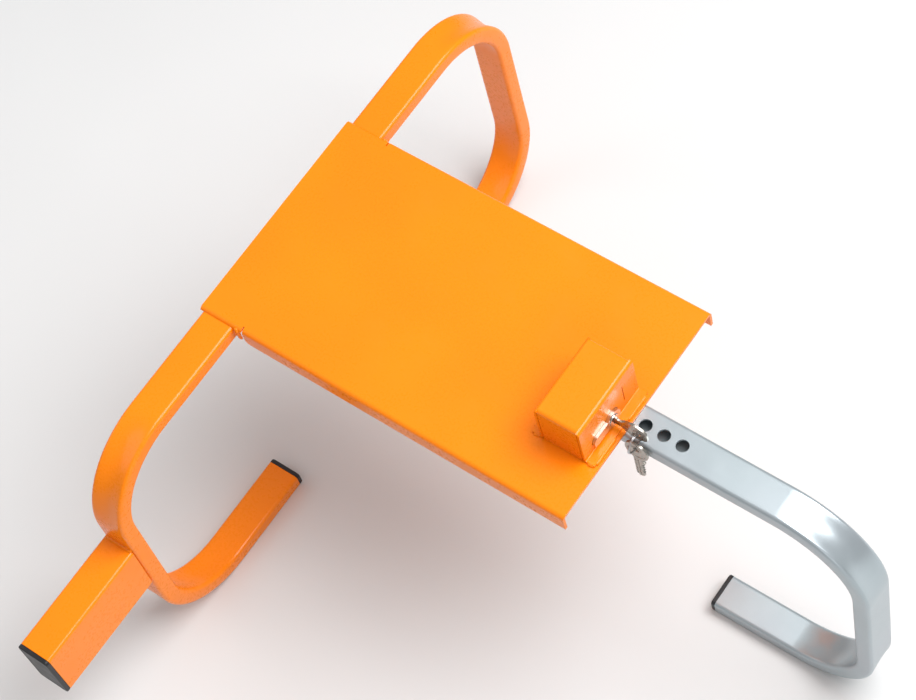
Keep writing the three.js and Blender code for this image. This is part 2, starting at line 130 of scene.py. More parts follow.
# ---------- camera ----------
CAMERA_PLACE = (947.69, -508.10, 1705.87)
CAMERA_RIGHT = (0.80400, 0.57277, -0.15974)
CAMERA_BACK = (0.38553, -0.29759, 0.87339)


def add_camera():
    data = bpy.data.cameras.new("camera")
    data.lens = 102.8
    data.sensor_width = 36
    data.clip_end = 50
    camera = bpy.data.objects.new("camera", data)
    bpy.context.scene.collection.objects.link(camera)
    right = Vector(CAMERA_RIGHT).normalized()
    back = Vector(CAMERA_BACK).normalized()
    up = back.cross(right).normalized()
    right = up.cross(back)
    place = Matrix((right, up, back)).transposed().to_4x4()
    place.translation = TO_WORLD @ Vector(CAMERA_PLACE)
    camera.matrix_world = place
    bpy.context.scene.camera = camera


add_camera()


# ---------- mesh helpers ----------
def new_object(name, bm):
    """A mesh object in world metres from a bmesh in millimetres."""
    bmesh.ops.recalc_face_normals(bm, faces=bm.faces)
    mesh = bpy.data.meshes.new(name)
    bm.to_mesh(mesh)
    bm.free()
    mesh.transform(TO_WORLD)
    obj = bpy.data.objects.new(name, mesh)
    bpy.context.scene.collection.objects.link(obj)
    return obj


def apply_modifiers(obj):
    """Replaces the object's mesh with the one its modifiers make."""
    graph = bpy.context.evaluated_depsgraph_get()
    mesh = bpy.data.meshes.new_from_object(obj.evaluated_get(graph), depsgraph=graph)
    obj.modifiers.clear()
    old = obj.data
    obj.data = mesh
    bpy.data.meshes.remove(old)


def boolean(obj, tool, operation="DIFFERENCE"):
    """Cuts or joins obj with a tool object, which is then removed."""
    modifier = obj.modifiers.new("boolean", "BOOLEAN")
    modifier.operation = operation
    modifier.solver = "EXACT"
    modifier.object = tool
    apply_modifiers(obj)
    mesh = tool.data
    bpy.data.objects.remove(tool)
    bpy.data.meshes.remove(mesh)
    return obj


def round_edges(obj, width, segments=3, angle=40):
    """Rounds every sharp edge by width millimetres."""
    modifier = obj.modifiers.new("bevel", "BEVEL")
    modifier.width = width / 1000
    modifier.segments = segments
    modifier.limit_method = "ANGLE"
    modifier.angle_limit = math.radians(angle)
    modifier.use_clamp_overlap = True
    apply_modifiers(obj)
    return obj


def smooth(obj, angle=50):
    """Smooth shading between faces that meet at less than the angle, in degrees."""
    for polygon in obj.data.polygons:
        polygon.use_smooth = True
    obj.data.set_sharp_from_angle(angle=math.radians(angle))
    modifier = obj.modifiers.new("normals", "WEIGHTED_NORMAL")
    modifier.keep_sharp = True
    modifier.weight = 80
    return obj


def arc(centre, radius, start, end, steps=8):
    """Points round a circle from start to end degrees."""
    points = []
    for i in range(steps + 1):
        a = math.radians(start + (end - start) * i / steps)
        points.append((centre[0] + radius * math.cos(a), centre[1] + radius * math.sin(a)))
    return points


def bridge(bm, low, high):
    """Faces between two rings with the same number of points."""
    for i in range(len(low)):
        j = (i + 1) % len(low)
        bm.faces.new((low[i], low[j], high[j], high[i]))


# Where an outline's (u, v) and the distance w along the axis go, as (x, y, z).
AXIS_ORDER = {
    "x": lambda u, v, w: (w, u, v),
    "y": lambda u, v, w: (u, w, v),
    "z": lambda u, v, w: (u, v, w),
}


def prism(name, outline, axis, start, end):
    """A closed outline pushed from start to end along an axis."""
    bm = bmesh.new()
    order = AXIS_ORDER[axis]
    rings = [[bm.verts.new(order(u, v, w)) for u, v in outline] for w in (start, end)]
    bridge(bm, *rings)
    bm.faces.new(rings[0])
    bm.faces.new(rings[1])
    return new_object(name, bm)


def moved(outline, by):
    return [(u + by[0], v + by[1]) for u, v in outline]


def rectangle(u0, u1, v0, v1):
    return [(u0, v0), (u1, v0), (u1, v1), (u0, v1)]


def block(name, x0, x1, y0, y1, z0, z1):
    return prism(name, rectangle(x0, x1, y0, y1), "z", z0, z1)


def rod(name, axis, centre, radius, start, end, steps=48):
    """A round rod along an axis, with steps sides; centre is the outline's (u, v)."""
    return prism(name, arc(centre, radius, 0, 360 * (steps - 1) / steps, steps - 1), axis, start, end)


def rounded_rect(width, height, radius, steps=6):
    w, h = width / 2 - radius, height / 2 - radius
    return (
        arc((w, h), radius, 0, 90, steps)
        + arc((-w, h), radius, 90, 180, steps)
        + arc((-w, -h), radius, 180, 270, steps)
        + arc((w, -h), radius, 270, 360, steps)
    )


def finish(obj, body, material, node):
    """Gives a piece its material and its body, and lets it stand for a CAD node."""
    obj.data.materials.clear()
    obj.data.materials.append(material)
    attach(obj, body)
    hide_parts(node)
    return obj


# ---------- materials ----------
class Shader:
    """A short way to write a node material."""

    def __init__(self, name):
        self.material = bpy.data.materials.new(name)
        self.material.use_nodes = True
        self.tree = self.material.node_tree
        self.surface = self.tree.nodes["Principled BSDF"]
        self.place = self.add("ShaderNodeTexCoord").outputs["Object"]

    def add(self, kind, **settings):
        node = self.tree.nodes.new(kind)
        for key, value in settings.items():
            setattr(node, key, value)
        return node

    def link(self, source, target):
        self.tree.links.new(source, target)

    def put(self, node, **values):
        for key, value in values.items():
            socket = node.inputs[key.replace("_", " ")]
            if isinstance(value, bpy.types.NodeSocket):
                self.link(value, socket)
            else:
                socket.default_value = value
        return node

    def stretch(self, x, y, z):
        mapping = self.add("ShaderNodeMapping")
        self.link(self.place, mapping.inputs["Vector"])
        mapping.inputs["Scale"].default_value = (x, y, z)
        return mapping.outputs["Vector"]

    def noise(self, scale, detail=3.0, roughness=0.55, vector=None):
        node = self.add("ShaderNodeTexNoise")
        self.put(node, Vector=vector or self.place, Scale=scale, Detail=detail, Roughness=roughness)
        return node.outputs["Fac"]

    def voronoi(self, scale):
        node = self.add("ShaderNodeTexVoronoi")
        self.put(node, Vector=self.place, Scale=scale)
        return node.outputs["Distance"]

    def ramp(self, value, low, high, to_low=0.0, to_high=1.0):
        """Maps low..high to to_low..to_high."""
        node = self.add("ShaderNodeMapRange")
        self.link(value, node.inputs["Value"])
        for key, number in zip(("From Min", "From Max", "To Min", "To Max"), (low, high, to_low, to_high)):
            node.inputs[key].default_value = number
        return node.outputs["Result"]

    def math(self, operation, a, b):
        node = self.add("ShaderNodeMath", operation=operation)
        for socket, value in zip(node.inputs, (a, b)):
            if isinstance(value, bpy.types.NodeSocket):
                self.link(value, socket)
            else:
                socket.default_value = value
        return node.outputs["Value"]

    def mix(self, factor, a, b):
        node = self.add("ShaderNodeMix", data_type="RGBA")
        sockets = [s for s in node.inputs if s.type == "RGBA"]
        self.link(factor, node.inputs[0])
        for socket, value in zip(sockets, (a, b)):
            if isinstance(value, bpy.types.NodeSocket):
                self.link(value, socket)
            else:
                socket.default_value = (*value, 1)
        return next(s for s in node.outputs if s.type == "RGBA")

    def bumps(self, *layers):
        """Bump layers of (height, strength, distance in metres), stacked."""
        previous = None
        for height, strength, distance in layers:
            node = self.add("ShaderNodeBump")
            self.put(node, Height=height, Strength=strength, Distance=distance)
            if previous:
                self.link(previous, node.inputs["Normal"])
            previous = node.outputs["Normal"]
        self.link(previous, self.surface.inputs["Normal"])


def powder_coat():
    s = Shader("orange_powder_coat")
    broad = s.noise(7, 2)
    fine = s.noise(420, 2)
    specks = s.ramp(s.voronoi(260), 0.0, 0.16)
    colour = s.mix(s.ramp(broad, 0.35, 0.65), (0.90, 0.205, 0.0008), (0.93, 0.228, 0.001))
    colour = s.mix(s.ramp(fine, 0.3, 0.7, 0.0, 0.25), colour, (0.97, 0.25, 0.002))
    colour = s.mix(specks, (0.89, 0.20, 0.0008), colour)
    smudges = s.ramp(s.noise(26, 5, 0.65), 0.5, 0.75, 0.0, 0.10)
    roughness = s.math("ADD", s.ramp(fine, 0.2, 0.8, 0.24, 0.32), smudges)
    s.put(s.surface, Base_Color=colour, Roughness=roughness, IOR=1.34, Coat_Weight=0.16, Coat_Roughness=0.06)
    s.bumps((s.noise(22, 2), 0.05, 0.00025), (s.noise(420, 2), 0.06, 0.00004))
    return s.material


def zinc():
    s = Shader("zinc_plate")
    clouds = s.noise(22, 4, 0.6)
    colour = s.mix(s.ramp(clouds, 0.3, 0.7), (0.375, 0.43, 0.455), (0.415, 0.47, 0.495))
    colour = s.mix(s.ramp(s.noise(9, 2), 0.45, 0.75, 0.0, 0.5), colour, (0.43, 0.455, 0.495))
    grain = s.ramp(s.noise(260, 3), 0.3, 0.7, -0.015, 0.02)
    roughness = s.math("ADD", s.ramp(clouds, 0.25, 0.75, 0.29, 0.34), grain)
    s.put(s.surface, Base_Color=colour, Metallic=0.62, Roughness=roughness)
    s.bumps((s.noise(30, 2), 0.05, 0.0002), (s.noise(500, 2), 0.025, 0.00002))
    return s.material


def nickel(name, colour_a, colour_b, rough):
    """Bare metal with worn patches and fine lengthwise scratches."""
    s = Shader(name)
    wear = s.noise(180, 4, 0.6)
    scratches = s.noise(1, 3, 0.7, s.stretch(300, 2600, 500))
    colour = s.mix(s.ramp(wear, 0.35, 0.7), colour_a, colour_b)
    worn = s.ramp(wear, 0.3, 0.7, rough, rough + 0.12)
    roughness = s.math("ADD", worn, s.ramp(scratches, 0.55, 0.75, 0.0, 0.08))
    s.put(s.surface, Base_Color=colour, Metallic=1.0, Roughness=roughness)
    s.bumps((scratches, 0.06, 0.00002), (s.noise(700, 3), 0.05, 0.00003))
    return s.material


def black_plastic():
    s = Shader("black_plastic")
    grain = s.noise(1500, 2)
    patches = s.noise(60, 4)
    colour = s.mix(s.ramp(patches, 0.35, 0.7), (0.006, 0.0065, 0.008), (0.016, 0.017, 0.020))
    roughness = s.ramp(patches, 0.3, 0.7, 0.38, 0.52)
    s.put(s.surface, Base_Color=colour, Roughness=roughness, IOR=1.5)
    s.bumps((patches, 0.15, 0.0002), (grain, 0.3, 0.00005))
    return s.material


def floor_material():
    s = Shader("pale_floor")
    colour = s.mix(s.ramp(s.noise(3, 2), 0.3, 0.7), (0.66, 0.66, 0.66), (0.68, 0.68, 0.68))
    s.put(s.surface, Base_Color=colour, Roughness=0.75)
    return s.material


ORANGE = powder_coat()
ZINC = zinc()
NICKEL = nickel("nickel", (0.62, 0.60, 0.57), (0.74, 0.72, 0.69), 0.16)
KEY_NICKEL = nickel("key_nickel", (0.40, 0.37, 0.33), (0.47, 0.44, 0.395), 0.22)
STEEL = nickel("steel", (0.50, 0.51, 0.52), (0.60, 0.61, 0.62), 0.25)
BLACK = black_plastic()


# ---------- bent tubes ----------
# In a bend the tube's outer wide wall sinks most, the inner one less, and the narrow walls swell.
OUTER_SINK, INNER_SINK, SWELL = 2.1, 1.3, 0.45
WIDE_FLAT, NARROW_FLAT, WIDE_WALL_FROM = 12.5, 6.0, 4.6
BEND_STEPS, BEND_FADE = 26, 0.3


def stations(corners):
    """Points along a path with round bends: (place, direction, dent from 0 to 1, outward from the bend)."""
    corners = [Vector(c) for c in corners]
    result = []

    def straight(start, end, fractions):
        for fraction in fractions:
            result.append((start.lerp(end, fraction), (end - start).normalized(), 0.0, Vector()))

    position = corners[0]
    for i in range(1, len(corners) - 1):
        before = (corners[i] - corners[i - 1]).normalized()
        after = (corners[i + 1] - corners[i]).normalized()
        start = corners[i] - before * BEND
        centre = start + after * BEND
        straight(position, start, (0.0, 0.5))
        for step in range(BEND_STEPS + 1):
            t = step / BEND_STEPS
            angle = t * math.pi / 2
            place = centre - after * BEND * math.cos(angle) + before * BEND * math.sin(angle)
            direction = before * math.cos(angle) + after * math.sin(angle)
            fade = min(1, min(t, 1 - t) / BEND_FADE)
            dent = fade * fade * (3 - 2 * fade)
            result.append((place, direction, dent, (place - centre).normalized()))
        position = centre + before * BEND
    straight(position, corners[-1], (0.0, 0.5, 1.0))
    # Stations at the same place are made one.
    clean = [result[0]]
    for station in result[1:]:
        if (station[0] - clean[-1][0]).length > 0.05:
            clean.append(station)
    return clean


def tube_section():
    """Section points (a across, b through), with extra points on the wide and narrow walls."""
    points = []
    w, h, r = WIDTH / 2, THICK / 2, CORNER
    along_wide = (9, 6, 3, 0, -3, -6, -9)
    along_narrow = (2, 0, -2)
    points += arc((w - r, h - r), r, 0, 90, 5)
    points += [(a, h) for a in along_wide]
    points += arc((-w + r, h - r), r, 90, 180, 5)
    points += [(-w, b) for b in along_narrow]
    points += arc((-w + r, -h + r), r, 180, 270, 5)
    points += [(a, -h) for a in reversed(along_wide)]
    points += arc((w - r, -h + r), r, 270, 360, 5)
    points += [(w, b) for b in reversed(along_narrow)]
    return points


SECTION = tube_section()


def dented(a, b, dent, inside):
    """A section point (a across, b outward from the bend), moved as its wall moves in a bend."""
    across = max(0.0, 1 - (a / WIDE_FLAT) ** 2)
    through = max(0.0, 1 - (b / NARROW_FLAT) ** 2)
    if b > WIDE_WALL_FROM:
        b -= OUTER_SINK * dent * across ** 1.5
    elif b < -WIDE_WALL_FROM:
        b += INNER_SINK * dent * across ** 1.5
    if abs(a) > WIDE_FLAT:
        a += math.copysign(SWELL * dent * through, a)
    if inside:
        a *= (WIDTH - 2 * WALL) / WIDTH
        b *= (THICK - 2 * WALL) / THICK
    return a, b


def tube(name, corners, across):
    """A hollow bent tube whose wide walls face in and out of its bends."""
    across = Vector(across)
    bm = bmesh.new()
    skins = []
    for inside in (False, True):
        rings = []
        for place, direction, dent, bend_out in stations(corners):
            out = direction.cross(across).normalized()
            sign = -1 if out.dot(bend_out) < 0 else 1
            ring = []
            for a, b in SECTION:
                a2, b2 = dented(a, b * sign, dent, inside)
                ring.append(bm.verts.new(place + across * a2 + out * b2 * sign))
            rings.append(ring)
        for low, high in zip(rings, rings[1:]):
            if inside:
                bridge(bm, high, low)
            else:
                bridge(bm, low, high)
        skins.append(rings)
    outer, inner = skins
    for end in (0, -1):
        for j in range(len(SECTION)):
            n = (j + 1) % len(SECTION)
            bm.faces.new((outer[end][j], inner[end][j], inner[end][n], outer[end][n]))
    return new_object(name, bm)


def claw_tube():
    """Both fixed hooks and the bar under the plate, in one tube."""
    top = CLAW_TOP - THICK / 2
    low, high = CLAW_Y0 + THICK / 2, CLAW_Y1 - THICK / 2
    path = [(CLAW_Y0 + CLAW_LEG, LEG_Z), (low, LEG_Z), (low, top), (high, top), (high, LEG_Z)]
    path.append((CLAW_Y1 - CLAW_LEG, LEG_Z))
    obj = tube("claw_tube_painted", [(CLAW_X, y, z) for y, z in path], (1, 0, 0))
    return smooth(round_edges(obj, 0.3, 2, 60))


def sliding_arm():
    """The plated tube with one hook, and holes for the bolt in its upper wall only."""
    top = ARM_TOP - THICK / 2
    outer = ARM_OUTER - THICK / 2
    path = [(ARM_END, top), (outer, top), (outer, LEG_Z), (ARM_LEG_END, LEG_Z)]
    obj = tube("sliding_arm_plated", [(x, ARM_Y, z) for x, z in path], (0, 1, 0))
    for k in range(-HOLES_INWARD, HOLES_OUTWARD + 1):
        boolean(obj, rod("tool", "z", (BOLT_X + HOLE_PITCH * k, ARM_Y), ARM_HOLE, -10, 2))
    return smooth(round_edges(obj, 0.35, 3, 60))


finish(claw_tube(), "frame", ORANGE, "claw_tube")
finish(sliding_arm(), "arm", ZINC, "sliding_arm")


# ---------- stub ----------
def stub():
    width, height = STUB_X1 - STUB_X0, STUB_TOP - STUB_BOTTOM
    middle = ((STUB_X0 + STUB_X1) / 2, (STUB_TOP + STUB_BOTTOM) / 2)
    outside = moved(rounded_rect(width, height, CORNER), middle)
    inside = moved(rounded_rect(width - 2 * WALL, height - 2 * WALL, INSIDE_CORNER), middle)
    obj = prism("stub_painted", outside, "y", STUB_END, STUB_FOOT)
    boolean(obj, prism("tool", inside, "y", STUB_END - 1, STUB_FOOT + 1))
    return smooth(round_edges(obj, 0.3, 2, 60))


finish(stub(), "frame", ORANGE, "stub_tube")


# ---------- end caps ----------
# From the plug's end to the face's sunk middle: (corner radius, depth behind the face, inset).
CAP_PROFILE = (
    (1.0, 16.0, 2.4), (1.0, CAP_FACE, 2.4), (3.0, CAP_FACE, 0.0), (3.0, 1.1, 0.0), (3.0, 0.55, 0.18),
    (3.0, 0.18, 0.55), (3.0, 0.0, 1.1), (2.2, 0.0, 2.1), (2.2, 0.28, 2.5), (1.6, 0.28, 3.6),
)
CAP_SUNK, CAP_CROWN, CAP_CROWN_STEPS = 0.28, 0.14, 3


def cap(name, width, height, place, turn, body, node):
    """A push-in cap: a round-edged face with a raised rim and a slightly crowned middle, and a plug."""
    bm = bmesh.new()
    rings = []
    for radius, depth, inset in CAP_PROFILE:
        corner = max(0.5, radius - 0.4 * inset)
        outline = rounded_rect(width - 2 * inset, height - 2 * inset, corner, 5)
        rings.append([bm.verts.new((u, v, depth)) for u, v in outline])
    edge = [vert.co.copy() for vert in rings[-1]]
    for step in range(1, CAP_CROWN_STEPS + 1):
        shrink = 1 - step / (CAP_CROWN_STEPS + 1)
        depth = CAP_SUNK - CAP_CROWN * (1 - shrink * shrink)
        rings.append([bm.verts.new((co.x * shrink, co.y * shrink, depth)) for co in edge])
    for low, high in zip(rings, rings[1:]):
        bridge(bm, low, high)
    bm.faces.new(rings[0])
    bm.faces.new(rings[-1])
    bmesh.ops.transform(bm, matrix=Matrix.Translation(place) @ turn, verts=bm.verts)
    return finish(smooth(new_object(name, bm), 45), body, BLACK, node)


TO_PLUS_Y = Matrix.Rotation(math.radians(-90), 4, "X")
TO_MINUS_Y = Matrix.Rotation(math.radians(90), 4, "X")
TO_PLUS_X = Matrix.Rotation(math.radians(90), 4, "Y")
CAP_REACH = CAP_FACE + GAP
LOWER_END = Vector((CLAW_X, CLAW_Y0 + CLAW_LEG + CAP_REACH, LEG_Z))
UPPER_END = Vector((CLAW_X, CLAW_Y1 - CLAW_LEG - CAP_REACH, LEG_Z))
STUB_OUTER_END = Vector((CLAW_X, STUB_END - CAP_REACH, (STUB_TOP + STUB_BOTTOM) / 2))
ARM_LEG_CAP = Vector((ARM_LEG_END - CAP_REACH, ARM_Y, LEG_Z))
ARM_INNER_CAP = Vector((ARM_END - CAP_REACH, ARM_Y, ARM_TOP - THICK / 2))
cap("lower_cap", WIDTH, THICK, LOWER_END, TO_MINUS_Y, "frame", "claw_cap_lower")
cap("upper_cap", WIDTH, THICK, UPPER_END, TO_PLUS_Y, "frame", "claw_cap_upper")
cap("stub_end_cap", WIDTH, STUB_TOP - STUB_BOTTOM, STUB_OUTER_END, TO_PLUS_Y, "frame", "stub_cap")
cap("arm_leg_cap", THICK, WIDTH, ARM_LEG_CAP, TO_PLUS_X, "arm", "arm_cap")
cap("arm_end_cap", THICK, WIDTH, ARM_INNER_CAP, TO_PLUS_X, "arm", "arm_inner_cap")


# ---------- cover plate ----------
def cover_plate():
    """One sheet with a flange folded down along each long edge; the flanges stop short of the claw tube."""
    r, t = PLATE_BEND, SHEET
    outline = [(0, -FLANGE)]
    outline += arc((r, -r), r, 180, 90, 10)
    outline += arc((SPAN - r, -r), r, 90, 0, 10)
    outline += [(SPAN, -FLANGE), (SPAN - t, -FLANGE)]
    outline += arc((SPAN - r, -r), r - t, 0, 90, 6)
    outline += arc((r, -r), r - t, 90, 180, 6)
    outline += [(t, -FLANGE)]
    obj = prism("cover_plate_painted", outline, "x", 0, LENGTH)
    # The part of each flange that is cut away, with a rounded corner.
    edge = FLANGE_START + FLANGE_CORNER
    under = -t - 0.4
    cut_out = [(-2, -FLANGE - 2), (edge, -FLANGE - 2), (edge, -FLANGE)]
    cut_out += arc((edge, -FLANGE + FLANGE_CORNER), FLANGE_CORNER, 270, 180, 8)
    cut_out += [(FLANGE_START, under), (-2, under)]
    boolean(obj, prism("tool", cut_out, "y", -2, SPAN + 2))
    # A relief notch at the fold, where each flange starts.
    notch = rounded_rect(1.2, 13, 0.55, 6)
    for y in (-1.5, SPAN + 1.5):
        boolean(obj, prism("tool", moved(notch, (FLANGE_START - 0.4, y)), "z", -6, 2))
    boolean(obj, rod("tool", "z", (BOLT_X, ARM_Y), BOLT_HOLE, -6, 2))
    boolean(obj, rod("tool", "z", (BOLT_X, SCREW_Y), SCREW_SHANK + 0.5, -6, 2, 32))
    return smooth(round_edges(obj, 0.45, 3, 45))


finish(cover_plate(), "frame", ORANGE, "cover_plate")


# ---------- arm guide ----------
def arm_guide():
    """A channel under the plate, open at the top and at both ends."""
    t, r = GUIDE_WALL, GUIDE_BEND
    low, high, bottom, top = GUIDE_Y0, GUIDE_Y1, GUIDE_BOTTOM, GUIDE_TOP
    outline = [(low, top)]
    outline += arc((low + r, bottom + r), r, 180, 270, 8)
    outline += arc((high - r, bottom + r), r, 270, 360, 8)
    outline += [(high, top), (high - t, top)]
    outline += arc((high - r, bottom + r), r - t, 360, 270, 5)
    outline += arc((low + r, bottom + r), r - t, 270, 180, 5)
    outline += [(low + t, top)]
    obj = prism("arm_guide_painted", outline, "x", GUIDE_START, GUIDE_END)
    return smooth(round_edges(obj, 0.35, 3, 45))


finish(arm_guide(), "frame", ORANGE, "arm_guide")


# ---------- lock housing ----------
def folded(low, high, foot):
    """An inverted U of sheet as (across, z), with feet turned out when foot is over zero."""
    r, t, base, top = HOUSING_BEND, HOUSING_SHEET, FOOT_Z, HOUSING_TOP
    tight, wide = FOOT_BEND_OUTSIDE, FOOT_BEND_INSIDE
    if foot:
        start = [(low - foot, base), (low - foot, base + t)]
        start += arc((low - tight, base + t + tight), tight, 270, 360, 4)
        turn = arc((high + tight, base + t + tight), tight, 180, 270, 4)
        turn += [(high + foot, base + t), (high + foot, base)]
        turn += arc((high - t + wide, base + wide), wide, 270, 180, 4)
        end = arc((low + t - wide, base + wide), wide, 0, -90, 4)
    else:
        start = [(low, base)]
        turn = [(high, base), (high - t, base)]
        end = [(low + t, base)]
    outside = arc((low + r, top - r), r, 180, 90, 8) + arc((high - r, top - r), r, 90, 0, 8)
    inside = arc((high - r, top - r), r - t, 0, 90, 5) + arc((low + r, top - r), r - t, 90, 180, 5)
    return start + outside + turn + inside + end


def cylinder_outline(grow=0.0):
    """The profile half cylinder's section as (y, z): a round part with a bar towards -y."""
    round_r, bar = CYLINDER_ROUND + grow, CYLINDER_BAR + grow
    end = CYLINDER_ROUND + CYLINDER_BAR - CYLINDER_HEIGHT
    angle = math.degrees(math.asin(bar / round_r))
    points = arc((0, 0), round_r, 180 - angle, -180 + angle, 28)
    points += arc((end, 0), bar, -90, -270, 14)
    return [(AXIS_Y + u, AXIS_Z + v) for u, v in points]


def lock_housing():
    """A folded box with open slits at its corners, an opening for the cylinder, and a slit beside it."""
    inset = HOUSING_SHEET + CORNER_SLIT
    x0, x1, y0, y1 = HOUSING_X0, HOUSING_X1, HOUSING_Y0, HOUSING_Y1
    obj = prism("lock_housing_painted", folded(x0, x1, FOOT), "y", y0, y1)
    bend, top = HOUSING_BEND, HOUSING_TOP
    for y in (y0, y1):
        boolean(obj, block("tool", x0 + inset, x1 - inset, y - bend, y + bend, top - bend, top + 1))
    boolean(obj, prism("tool", folded(y0, y1, 0), "x", x0 + inset, x1 - inset), "UNION")
    boolean(obj, prism("tool", cylinder_outline(0.4), "x", x1 - 6, x1 + 4))
    slit = rectangle(SLIT_Y - SLIT_WIDTH / 2, SLIT_Y + SLIT_WIDTH / 2, SLIT_Z0, SLIT_Z1)
    boolean(obj, prism("tool", slit, "x", x1 - 6, x1 + 4))
    return smooth(round_edges(obj, 0.4, 3, 45))


finish(lock_housing(), "frame", ORANGE, "lock_housing")


# ---------- lock ----------
LOCK_AXIS = (AXIS_Y, AXIS_Z)


def lock_cylinder():
    """The half cylinder, bored for the plug, slotted for the cam and drilled for its screw."""
    obj = prism("lock_cylinder_body", cylinder_outline(), "x", CYLINDER_BACK, CYLINDER_FRONT)
    boolean(obj, rod("tool", "x", LOCK_AXIS, BORE, BORE_BACK, CYLINDER_FRONT + 2.5, 64))
    boolean(obj, rod("tool", "x", LOCK_AXIS, TAIL_BORE, CYLINDER_BACK - 2.6, BORE_BACK + 2, 32))
    slot = (CAM_SLOT_BACK, CAM_SLOT_FRONT, CAM_SLOT_Y0, CAM_SLOT_Y1)
    boolean(obj, block("tool", *slot, -12, 36))
    boolean(obj, rod("tool", "z", (BOLT_X, SCREW_Y), SCREW_SHANK + GAP, 0, 15, 32))
    return smooth(round_edges(obj, 0.45, 3, 45))


def lock_plug():
    """The part that the key turns, with a keyway in front and a thinner tail behind."""
    obj = rod("lock_plug_turned", "x", LOCK_AXIS, PLUG, PLUG_BACK, PLUG_FRONT, 64)
    boolean(obj, rod("tool", "x", LOCK_AXIS, PLUG_TAIL, PLUG_TAIL_BACK, PLUG_BACK + 0.7, 32), "UNION")
    y0, y1 = AXIS_Y - KEYWAY_HALF_WIDTH, AXIS_Y + KEYWAY_HALF_WIDTH
    z0, z1 = AXIS_Z - KEYWAY_HALF_HEIGHT, AXIS_Z + KEYWAY_HALF_HEIGHT
    boolean(obj, block("tool", KEYWAY_BACK, PLUG_FRONT + 1.9, y0, y1, z0, z1))
    return smooth(round_edges(obj, 0.3, 3, 45))


finish(lock_cylinder(), "frame", NICKEL, "lock_cylinder")
finish(lock_plug(), "plug", NICKEL, "lock_plug")


# ---------- keys ----------
BOW_MIDDLE = (KEY_TOP + BOW_END) / 2


def bezier(p0, p1, p2, p3, steps=10):
    points = []
    for i in range(1, steps + 1):
        t = i / steps
        a, b, c, d = (1 - t) ** 3, 3 * t * (1 - t) ** 2, 3 * t * t * (1 - t), t ** 3
        points.append(tuple(a * w + b * x + c * y + d * z for w, x, y, z in zip(p0, p1, p2, p3)))
    return points


def key_outline():
    """From the blade's tip round its smooth edge, the bow and the shoulder, and back along the teeth."""
    top, low, shoulder, tip, middle = KEY_TOP, BOW_END, SHOULDER, TIP, BOW_MIDDLE
    blade, half, flat = BLADE, BOW_HALF, BOW_FLAT
    outline = [(tip, 0.6), (tip, -0.8), (tip + 2.4, -blade + 0.3), (tip + 3.6, -blade), (low - 0.5, -blade)]
    outline += bezier((low - 0.5, -blade), (low + 1, -blade - 0.4), (middle - 8, -half), (middle, -half))
    outline += bezier((middle, -half), (middle + 6, -half), (top - 1, -flat - 3.5), (top, -flat))
    outline += bezier((top, -flat), (top + 0.25, -1.5), (top + 0.25, 1.5), (top, flat), 5)
    outline += bezier((top, flat), (top - 1, flat + 3.5), (middle + 6, half), (middle, half))
    outline += bezier((middle, half), (middle - 8, half), (low + 1, blade + 0.4), (low - 0.5, blade))
    outline += [(shoulder + 3.0, blade + 0.2), (shoulder + 2.2, blade + 1.9)]
    outline += [(shoulder + 0.3, blade + 2), (shoulder, blade)]
    pitch = (shoulder - tip - 5.5) / len(TOOTH_DEPTHS)
    for i, depth in enumerate(TOOTH_DEPTHS):
        start, floor = shoulder - 1.5 - i * pitch, blade - depth
        outline += [(start, blade), (start - 0.36 * pitch, floor), (start - 0.62 * pitch, floor)]
    outline += [(tip + 3.4, blade - 0.5)]
    return outline


def cut_grooves(obj):
    start, end = TIP - 1, SHOULDER + 4
    for middle, width, z0, z1 in GROOVES:
        low, high = middle - width / 2, middle + width / 2
        groove = [(start, low), (end, low), (end + 1.5, middle), (end, high), (start, high)]
        boolean(obj, prism("tool", groove, "z", z0, z1))


def sink_bow(obj):
    """Sinks both faces of the bow inside a thin rim, and leaves a flat ring round the hole."""
    centre, long_radius, short_radius, steps = BOW_MIDDLE + 0.1, 8.6, 7.9, 48
    face, collar = 0.82, 4.3
    sunk = []
    for i in range(steps):
        a = 2 * math.pi * i / steps
        sunk.append((centre + long_radius * math.cos(a), short_radius * math.sin(a)))
    for z0, z1 in ((face, 2), (-2, -face)):
        tool = prism("tool", sunk, "z", z0, z1)
        boolean(tool, rod("tool2", "z", (0, 0), collar, -3, 3, 40))
        boolean(obj, tool)


def key(name, place, turn, body, node):
    """A flat key: a bow with a ring hole and sunk faces, a shoulder, and a grooved, toothed blade."""
    obj = prism(name, key_outline(), "z", -KEY_HALF_THICK, KEY_HALF_THICK)
    boolean(obj, rod("tool", "z", (0, 0), KEY_HOLE, -3, 3, 40))
    round_edges(obj, 0.28, 3, 35)
    cut_grooves(obj)
    sink_bow(obj)
    obj.data.transform(TO_WORLD.inverted())
    obj.data.transform(Matrix.Translation(Vector(place)) @ turn)
    obj.data.transform(TO_WORLD)
    return finish(smooth(obj, 35), body, KEY_NICKEL, node)


FLAT_TO_XZ = Matrix.Rotation(math.radians(90), 4, "X")
HANGING = Matrix(((0, 1, 0, 0), (0, 0, 1, 0), (1, 0, 0, 0), (0, 0, 0, 1)))
key("inserted_key", RING_HOLE, FLAT_TO_XZ, "key", "lock_key")

